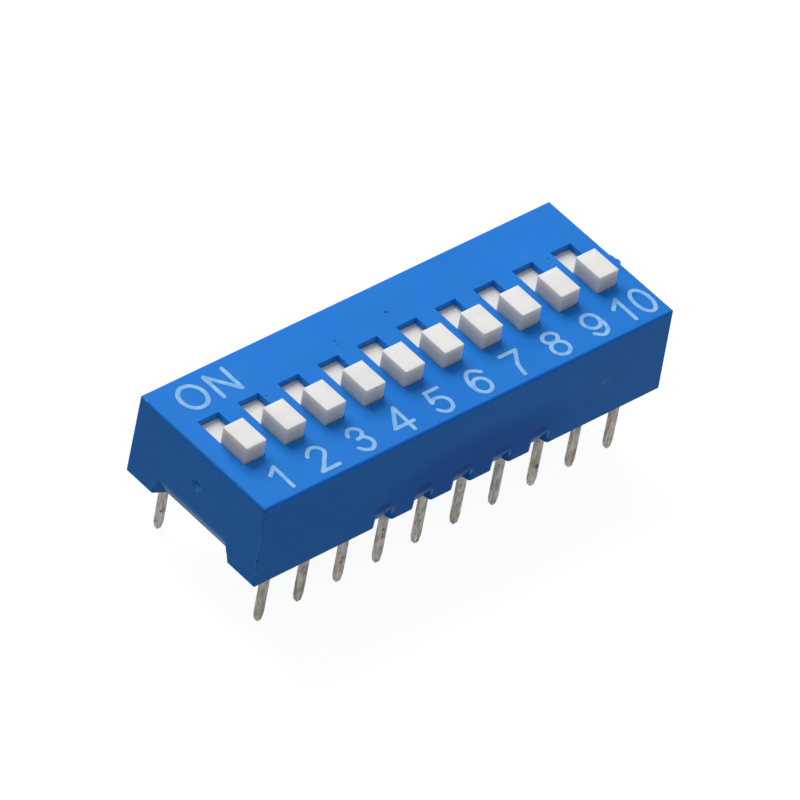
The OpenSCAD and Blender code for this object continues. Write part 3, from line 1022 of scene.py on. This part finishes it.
@dataclass
class Mouldings:
    """The housing and the base that snaps into it.

    Attributes:
        row: The switches.
        top: Height of the top face.
        left: X of the left end.
        front: Y of the front wall near its foot.
        plate_depth: Depth of the sliders' plates under the top face.
        notches: How many notches the front wall's foot has between the two end reliefs.
        base_roughness: Roughness of the base.
        painted_shade: The tint of the shade painted low in the slots and over the notches.
        shade_and_smudge: The tint of the shade painted over the front wall's lower middle, and of a smudge on
            the top.
        edge_glow: The purer tint of light painted along the front wall's upper edge, leaking through from the
            top.
        pale: The tint of rubbed places, and of light painted on the front left edge and in the gate's scar.
        notch_highlight: The tint of the highlights painted on the notches' curled right edges and roofs.
        teal: The tint of the stains on the left end.
        gate_shade: The tint of the shade painted in the upper part of the gate's scar.
        dirt: The tint of the dark specks.
    """

    row: Row
    top: float
    left: float = -13.27
    front: float = -4.83
    plate_depth: float = 0.39
    notches: int = 5
    base_roughness: float = 0.52
    painted_shade: Colour = (0.0, 0.09, 0.42)
    shade_and_smudge: Colour = (0.0, 0.135, 0.585)
    edge_glow: Colour = (0.0, 0.19, 0.85)
    pale: Colour = (0.10, 0.36, 0.76)
    notch_highlight: Colour = (0.16, 0.46, 1.0)
    teal: Colour = (0.01, 0.32, 0.66)
    gate_shade: Colour = (0.0, 0.11, 0.38)
    dirt: Colour = (0.006, 0.02, 0.035)

    def slot_marks(self) -> list[Mark]:
        """Painted shade low on every slot's walls."""
        plate = self.top - self.plate_depth
        return [Mark((0.0, 0.0, plate), (1.1, 2.8, 0.24), self.painted_shade, 0.7, row=self.row)]

    def front_marks(self) -> list[Mark]:
        """Marks of the front wall.

        Returns:
            Light painted along its upper edge, shade painted over its lower middle and over every notch,
            highlights painted on the notches' curled edges and roofs, and three scuffs by the right end.
        """
        y, notches = self.front, Row(self.notches, self.row.pitch)
        return [
            # Painted light along the upper edge, leaking through from the top.
            Mark((0.0, y + 0.13, self.top - 0.15), (60.0, 0.15, 0.13), self.edge_glow, 0.8, core=0.5),
            # Painted shade over the lower middle of the front wall.
            Mark((0.8, y + 0.03, 1.35), (8.0, 1.2, 2.4), self.shade_and_smudge, 1.0, core=0.3),
            # Painted shade over every notch.
            Mark((0.05, y + 0.01, 1.12), (0.80, 0.40, 0.36), self.painted_shade, 0.9, core=0.3, row=notches),
            # Painted highlights on every notch's curled right edge and along its roof.
            Mark((0.71, y + 0.17, 0.60), (0.10, 0.35, 0.38), self.notch_highlight, 0.9, ragged=0.5, row=notches),
            Mark((0.42, y + 0.13, 0.80), (0.34, 0.30, 0.08), self.notch_highlight, 0.7, ragged=0.6, row=notches),
            Mark((9.10, y + 0.06, 2.37), (0.30, 0.30, 0.07), self.pale, 0.7, core=0.2, ragged=1.5),
            Mark((9.50, y + 0.06, 2.27), (0.22, 0.30, 0.05), self.pale, 0.7, core=0.2, ragged=1.5),
            Mark((8.90, y + 0.06, 2.22), (0.14, 0.30, 0.04), self.pale, 0.6, core=0.2, ragged=1.5),
        ]

    def corner_marks(self) -> list[Mark]:
        """Marks of the upright edge at the front left.

        Returns:
            A highlight painted along its length, three paler places on it and a speck.
        """
        x, y = self.left, self.front
        return [
            # A highlight painted along the rounded upright edge.
            Mark((x, y + 0.08, 2.60), (0.07, 0.12, 2.60), self.pale, 0.5, core=0.7, ragged=0.9),
            Mark((x - 0.01, y + 0.12, 4.70), (0.10, 0.10, 0.28), self.pale, 0.7),
            Mark((x, y + 0.08, 3.02), (0.10, 0.10, 0.40), self.pale, 0.6),
            Mark((x + 0.01, y + 0.04, 1.72), (0.10, 0.10, 0.22), self.dirt, 0.7),
            Mark((x + 0.05, y + 0.03, 0.88), (0.12, 0.10, 0.20), self.pale, 0.6),
        ]

    def end_marks(self) -> list[Mark]:
        """Marks of the left end.

        Returns:
            The stained ring round the gate, the gate's scar with light painted on its lower part, shade
            painted in its upper part and a pale spot above it, and two spots by the relief.
        """
        x = self.left
        return [
            Mark((x, -0.06, 2.90), (0.30, 0.40, 0.50), self.teal, 0.8, core=0.2, ragged=1.6),
            # Painted light on the lower part of the gate's scar.
            Mark((x, -0.07, 2.70), (0.30, 0.12, 0.20), self.pale, 0.5, core=0.3, ragged=1.0),
            Mark((x, -0.05, 3.27), (0.30, 0.07, 0.09), self.pale, 0.5, ragged=0.6),
            # Painted shade in the upper part of the gate's scar.
            Mark((x, 0.10, 2.98), (0.30, 0.12, 0.14), self.gate_shade, 1.0, core=0.5, ragged=0.8),
            Mark((x, -0.08, 3.00), (0.30, 0.10, 0.14), self.gate_shade, 1.0, core=0.5, ragged=0.8),
            Mark((x, -0.29, 3.22), (0.30, 0.06, 0.12), self.gate_shade, 0.6, ragged=0.8),
            Mark((x, 2.15, 0.88), (0.30, 0.13, 0.15), self.dirt, 0.85, ragged=0.6),
            Mark((x, 2.75, 0.75), (0.30, 0.30, 0.20), self.teal, 0.7, core=0.3, ragged=1.2),
        ]

    def top_marks(self) -> list[Mark]:
        """Marks of the top face.

        Returns:
            Three specks, a bent scratch, two pale nicks and a smudge.
        """
        z = self.top
        return [
            Mark((0.90, 2.85, z), (0.12, 0.09, 0.10), self.dirt, 0.95),
            Mark((-8.05, 1.40, z), (0.07, 0.06, 0.10), self.dirt, 0.8),
            Mark((10.40, 1.50, z), (0.07, 0.06, 0.10), self.dirt, 0.8),
            Mark((-2.61, 2.62, z), (0.05, 0.15, 0.10), self.dirt, 0.8),
            Mark((-2.66, 2.36, z), (0.10, 0.05, 0.10), self.dirt, 0.7),
            Mark((-4.50, -2.20, z), (0.08, 0.07, 0.10), self.pale, 0.8),
            Mark((self.left + 0.02, 4.30, z), (0.12, 0.14, 0.10), self.pale, 0.8),
            Mark((12.20, -2.60, z), (0.60, 0.50, 0.20), self.shade_and_smudge, 0.6, core=0.1),
        ]

    def build(self) -> list[str]:
        """Dresses both mouldings.

        Returns:
            Their names.
        """
        kinds = (self.slot_marks, self.front_marks, self.corner_marks, self.end_marks, self.top_marks)
        marks = tuple(mark for kind in kinds for mark in kind())
        dress(["housing"], BluePlastic("blue_housing", marks=marks))
        dress(["base"], BluePlastic("blue_base", roughness=self.base_roughness))
        return ["housing", "base"]


@dataclass
class Sliders:
    """The sliders and their contact clips.

    Attributes:
        row: The switches.
        knob_top: Height of the knobs' tops.
        knob_half: Half a knob's width.
        scuffed: The number of the slider whose knob is scuffed.
        chalk: The tint of its scratches.
        dirt: The tint of its speck.
        gilt: The clips' finish.
    """

    row: Row
    knob_top: float = 6.1
    knob_half: float = 0.63
    scuffed: int = 4
    chalk: Colour = (0.95, 0.95, 0.93)
    dirt: Colour = (0.10, 0.09, 0.10)
    gilt: GiltPlating = GiltPlating("gilt_contact")

    def marks(self) -> list[Mark]:
        """Marks of the scuffed knob.

        Returns:
            Two scratches high on its left side, a chip on its top and a speck at its front edge.
        """
        middle, z = self.row.x(self.scuffed), self.knob_top
        left = middle - self.knob_half
        return [
            Mark((left, -0.40, z - 0.36), (0.15, 0.13, 0.05), self.chalk, 0.9, ragged=0.8),
            Mark((left, -0.55, z - 0.17), (0.15, 0.08, 0.12), self.chalk, 0.8, ragged=0.8),
            Mark((middle + 0.28, -1.17, z), (0.07, 0.07, 0.10), self.chalk, 0.9, ragged=0.8),
            Mark((middle, -1.73, z - 0.07), (0.07, 0.10, 0.06), self.dirt, 0.9, ragged=0.8),
        ]

    def build(self) -> list[str]:
        """Dresses the sliders and the clips.

        Returns:
            Their names.
        """
        numbers = range(1, self.row.count + 1)
        sliders = [f"slider_{number}" for number in numbers]
        clips = [f"contact_clip_{number}" for number in numbers]
        dress(sliders, WhitePlastic("white_slider", marks=tuple(self.marks())))
        dress(clips, self.gilt)
        return sliders + clips


@dataclass
class Terminals:
    """The two rows of pins, numbered along the front row and back along the other.

    Attributes:
        row: The switches, each between two pins.
        face: Y of the front row's outer faces.
        thickness: Of a pin.
        soot: The tint of the stains on single pins.
        bare: The tint of a rubbed place.
    """

    row: Row
    face: float = -3.92
    thickness: float = 0.22
    soot: Colour = (0.03, 0.028, 0.022)
    bare: Colour = (0.70, 0.68, 0.66)

    def on_pin(self, number: int, aside: float, height: float) -> Point:
        """Finds a place on the face that a pin turns to the front.

        Args:
            number: The pin's number.
            aside: How far to the right of its middle the place lies.
            height: How high it lies.

        Returns:
            The place.
        """
        if number <= self.row.count:
            return (self.row.x(number) + aside, self.face, height)
        return (self.row.x(2 * self.row.count + 1 - number) + aside, -self.face - self.thickness, height)

    def stains(self) -> list[Mark]:
        """Marks of single pins.

        Returns:
            The dark spots that stand out on pins 1 to 6 and 20, and a rubbed tip on pin 5.
        """
        return [
            Mark(self.on_pin(1, 0.07, -1.43), (0.10, 0.10, 0.16), self.soot, 0.6, core=0.2, ragged=0.8),
            Mark(self.on_pin(2, 0.03, -2.10), (0.08, 0.10, 0.34), self.soot, 0.6, core=0.2, ragged=1.0),
            Mark(self.on_pin(2, -0.14, -3.21), (0.07, 0.10, 0.10), self.soot, 0.6, core=0.2, ragged=0.8),
            Mark(self.on_pin(3, 0.02, -2.28), (0.13, 0.10, 0.13), self.soot, 0.8, core=0.3, ragged=1.0),
            Mark(self.on_pin(3, -0.11, -2.50), (0.09, 0.10, 0.13), self.soot, 0.7, core=0.3, ragged=1.0),
            Mark(self.on_pin(4, -0.01, -1.69), (0.10, 0.10, 0.11), self.soot, 0.95, ragged=0.8),
            Mark(self.on_pin(4, 0.03, -2.18), (0.09, 0.10, 0.26), self.soot, 0.85, core=0.3, ragged=1.2),
            Mark(self.on_pin(5, -0.18, -3.17), (0.09, 0.10, 0.13), self.soot, 0.7, core=0.3, ragged=1.0),
            Mark(self.on_pin(5, -0.06, -3.60), (0.12, 0.10, 0.12), self.bare, 0.6, core=0.3, ragged=0.8),
            Mark(self.on_pin(6, -0.15, -0.89), (0.11, 0.10, 0.16), self.soot, 0.6, core=0.2, ragged=1.0),
            Mark(self.on_pin(20, -0.07, -2.74), (0.09, 0.10, 0.11), self.soot, 0.95, ragged=0.8),
        ]

    def build(self) -> list[str]:
        """Dresses the terminals.

        Returns:
            Their names.
        """
        names = [f"terminal_{number}" for number in range(1, 2 * self.row.count + 1)]
        dress(names, TinPlating("tinned_terminal", marks=tuple(self.stains())))
        return names


# ---- Studio ----


@dataclass
class Camera:
    """The camera, held by the angles of its line of sight and by the point it looks at.

    Attributes:
        azimuth: Angle round the part, in degrees, where 0 looks along Y.
        elevation: Angle above the board, in degrees.
        roll: Turn about the line of sight, in degrees.
        target: The point in the middle of the view.
        distance: From the target to the camera.
        lens: Focal length.
        sensor: Width of the sensor.
        near: The nearest that it sees, in metres.
    """

    azimuth: float = -48.207
    elevation: float = 42.135
    roll: float = 11.019
    target: Point = (-0.902, -0.771, 3.0)
    distance: float = 511.94
    lens: float = 473.19
    sensor: float = 36.0
    near: float = 0.01

    def build(self) -> bpy.types.Object:
        """Makes the camera.

        The way back from the target is (sin a cos e, -cos a cos e, sin e) for azimuth a and elevation e. The
        level right and the upright across it are turned about that line by the roll.

        Returns:
            The camera, set as the scene's own.
        """
        azimuth, elevation, roll = map(math.radians, (self.azimuth, self.elevation, self.roll))
        back = Vector((
            math.sin(azimuth) * math.cos(elevation),
            -math.cos(azimuth) * math.cos(elevation),
            math.sin(elevation),
        ))
        level = Vector((math.cos(azimuth), math.sin(azimuth), 0))
        right = math.cos(roll) * level + math.sin(roll) * back.cross(level)
        turned = Matrix((right, back.cross(right), back)).transposed().to_4x4()
        data = bpy.data.cameras.new("camera")
        data.lens = self.lens
        data.sensor_width = self.sensor
        data.clip_start = self.near
        made = bpy.data.objects.new("camera", data)
        place = (Vector(self.target) + back * self.distance) * MM
        made.matrix_world = Matrix.Translation(place) @ turned
        bpy.context.scene.collection.objects.link(made)
        bpy.context.scene.camera = made
        return made


@dataclass
class Studio:
    """A pale floor under one broad softbox from behind, and an even white surround.

    Attributes:
        floor_z: Height of the floor, where the pins' tips stand.
        floor_half: Half the floor's width.
        floor_lines: Lines of the floor's grid each way.
        floor_grey: How much light the floor throws back.
        floor_glow: What the floor adds towards the camera and in reflections.
        sky: Strength of the surround as a light.
        key_from: Direction of the softbox from the part.
        key_distance: How far away it is.
        key_width: Its width and length.
        key_level: Its light on a surface that faces it, where 1 shows a colour as written.
    """

    floor_z: float
    floor_half: float = 3000.0
    floor_lines: int = 9
    floor_grey: float = 0.16
    floor_glow: float = 0.93
    sky: float = 0.39
    key_from: Point = (0.08, 0.64, 0.76)
    key_distance: float = 400.0
    key_width: float = 260.0
    key_level: float = 0.82

    def build(self) -> list[str]:
        """Builds the floor, the surround and the softbox.

        Returns:
            Their names.
        """
        bpy.context.scene.view_settings.view_transform = "Standard"
        self.floor()
        self.surround()
        self.softbox()
        return ["floor", "surround", "softbox"]

    def floor(self) -> None:
        """Lays a level grid, dressed so that it shows white and still takes a faint shadow."""
        line = np.linspace(-self.floor_half, self.floor_half, self.floor_lines)
        x, y = np.meshgrid(line, line, indexing="ij")
        points = np.dstack([x, y, np.full_like(x, self.floor_z)])
        made = bpy.data.objects.new("floor", grid_mesh("floor", points, across=False, along=False))
        bpy.context.scene.collection.objects.link(made)
        paper = bpy.data.materials.new("floor_paper")
        paint = Paint(paper)
        grey = (self.floor_grey,) * 3
        sight = self.seen(paint)
        matt = paint.node("ShaderNodeBsdfDiffuse", {}, {"Color": grey})
        glow = paint.node("ShaderNodeEmission", {}, {"Strength": sight * self.floor_glow})
        paint.end(paint.node("ShaderNodeAddShader", {}, {0: matt, 1: glow}), "ShaderNodeOutputMaterial")
        made.data.materials.append(paper)

    def seen(self, paint: Paint) -> Value:
        """Tells the rays that show the surround from those that light the part.

        Args:
            paint: The node tree that needs to know.

        Returns:
            1 for rays from the camera, from gloss and through glass, and 0 for the others.
        """
        rays = [
            paint.node("ShaderNodeLightPath", {}, {}, output=name)
            for name in ("Is Camera Ray", "Is Glossy Ray", "Is Transmission Ray")
        ]
        return rays[0].either(rays[1]).either(rays[2])

    def surround(self) -> None:
        """Makes the world white to the eye and a soft fill as a light."""
        world = bpy.data.worlds.new("surround")
        bpy.context.scene.world = world
        paint = Paint(world)
        sight = self.seen(paint)
        strength = self.sky + sight * (1.0 - self.sky)
        glow = paint.node("ShaderNodeBackground", {}, {"Color": (1.0, 1.0, 1.0), "Strength": strength})
        paint.end(glow, "ShaderNodeOutputWorld")

    def softbox(self) -> None:
        """Hangs the softbox: a power of (pi d)^2 watts at d metres lights a facing surface at level 1."""
        data = bpy.data.lights.new("softbox", "AREA")
        data.shape = "SQUARE"
        data.size = self.key_width * MM
        data.energy = self.key_level * (math.pi * self.key_distance * MM) ** 2
        made = bpy.data.objects.new("softbox", data)
        away = Vector(self.key_from).normalized()
        turned = away.to_track_quat("Z", "Y").to_matrix().to_4x4()
        made.matrix_world = Matrix.Translation(away * self.key_distance * MM) @ turned
        bpy.context.scene.collection.objects.link(made)


def main() -> None:
    """Builds the camera and the studio, and then dresses the switch, piece by piece."""
    positions = sum(name.startswith("slider_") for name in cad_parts)
    first, last = (sum(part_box(f"slider_{number}"), Vector()).x / 2 for number in (1, positions))
    row = Row(positions, (last - first) / (positions - 1) * PER_MM)
    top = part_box("housing")[1].z * PER_MM
    floor_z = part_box("terminal_1")[0].z * PER_MM
    Camera().build()
    parts = (Studio(floor_z), Mouldings(row, top), Sliders(row), Terminals(row), Legend(row, top))
    for part in parts:
        for name in part.build():
            log.info("%s: %s", type(part).__name__, name)


if __name__ == "__main__":
    main()
